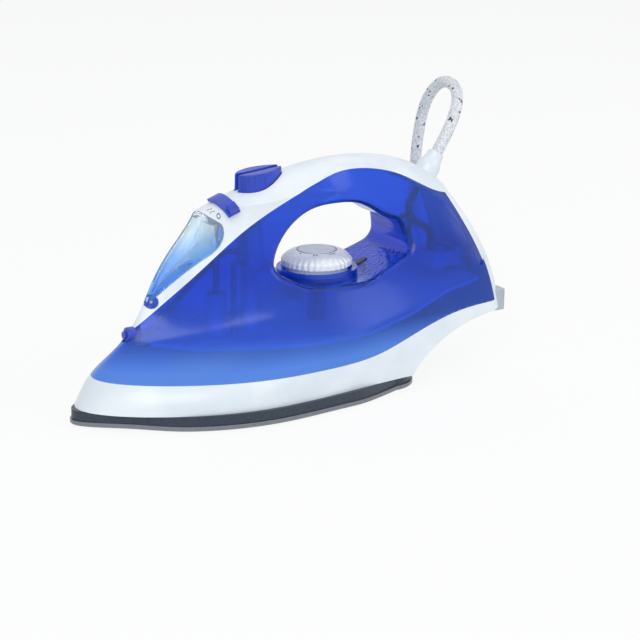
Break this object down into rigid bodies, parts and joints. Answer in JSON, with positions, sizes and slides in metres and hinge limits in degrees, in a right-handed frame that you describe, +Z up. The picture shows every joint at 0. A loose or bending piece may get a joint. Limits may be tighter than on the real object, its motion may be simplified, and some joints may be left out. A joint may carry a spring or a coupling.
{
  "type": "steam iron",
  "caption": "Steam iron with a metal sole plate, translucent water tank, hinged fill lid, steam and spray buttons, steam slider, temperature dial and a coiled mains cord.",
  "frame": {"origin": "on the sole plane, below the middle of the iron without its cord", "axes": "+X from the nose to the heel, +Y across towards the side away from the camera, +Z up from the sole"},
  "size_m": [0.2911, 0.2473, 0.1786],
  "materials": {
    "sole_steel": "polished",
    "cast_alloy": "dark enamel",
    "heater_steel": "satin",
    "white_plastic": "gloss",
    "blue_clear_plastic": "clear tinted",
    "pale_blue_clear_plastic": "clear tinted",
    "blue_plastic": "satin",
    "silver_plastic": "metallic",
    "grey_plastic": "satin",
    "inner_plastic": "satin",
    "spring_steel": "bright",
    "brass": "bright",
    "silicone_rubber": "satin",
    "wire_sheath": "satin",
    "amber_plastic": "clear tinted",
    "lamp_glass": "clear",
    "braided_fabric": "woven",
    "strap_fabric": "woven"
  },
  "bodies": {
    "iron": {"bimetal_blade": "heater_steel", "cord_coil": "braided_fabric", "cord_guard": "white_plastic", "cord_lead": "braided_fabric", "cord_tail": "braided_fabric", "cord_tie": "strap_fabric", "fill_funnel": "white_plastic", "handle_cover": "white_plastic", "heating_element": "heater_steel", "heel_feet": "grey_plastic", "lamp_lens": "amber_plastic", "lead_wires": "wire_sheath", "lid_pin": "spring_steel", "pilot_lamp": "lamp_glass", "plug_body": "white_plastic", "plug_pins": "brass", "pump_block": "inner_plastic", "rear_cover": "white_plastic", "rear_screws": "spring_steel", "skirt": "white_plastic", "sole_casting": "cast_alloy", "sole_plate": "sole_steel", "spray_nozzle": "blue_plastic", "spray_spring": "spring_steel", "spray_tube": "silicone_rubber", "steam_chamber_cover": "cast_alloy", "steam_spring": "spring_steel", "steam_tube": "silicone_rubber", "tank_body": "blue_clear_plastic", "tank_floor": "inner_plastic", "terminal_block": "inner_plastic", "terminal_screws": "spring_steel", "thermal_fuse": "inner_plastic", "thermostat_frame": "heater_steel", "valve_rod": "spring_steel", "valve_seat": "inner_plastic"},
    "dial": {"temperature_dial": "silver_plastic", "dial_disc": "grey_plastic", "dial_shaft": "grey_plastic"},
    "steam_pusher": {"steam_button": "blue_plastic", "steam_piston": "inner_plastic"},
    "spray_pusher": {"spray_button": "blue_plastic", "spray_piston": "inner_plastic"},
    "slider": {"steam_slider": "blue_plastic"},
    "lid": {"fill_lid": "pale_blue_clear_plastic"}
  },
  "joints": [
    {"name": "dial_turn", "type": "hinge", "parent": "iron", "child": "dial", "pos_m": [0.0235, 0, 0.08], "axis": [0, 0, 1], "range_deg": [-30, 270]},
    {"name": "steam_press", "type": "slide", "parent": "iron", "child": "steam_pusher", "axis": [0, 0, -1], "range_m": [0, 0.005], "stiffness_N_per_m": 400, "springref_m": -0.002, "deforming": ["steam_spring"]},
    {"name": "spray_press", "type": "slide", "parent": "iron", "child": "spray_pusher", "axis": [0, 0, -1], "range_m": [0, 0.005], "stiffness_N_per_m": 400, "springref_m": -0.002, "deforming": ["spray_spring"]},
    {"name": "slider_swing", "type": "hinge", "parent": "iron", "child": "slider", "pos_m": [-0.03575, 0, 0.10341], "axis": [-0.9358, 0, -0.3524], "range_deg": [0, 28]},
    {"name": "lid_open", "type": "hinge", "parent": "iron", "child": "lid", "pos_m": [-0.0906, 0, 0.0686], "axis": [0, -1, 0], "range_deg": [0, 80]}
  ]
}
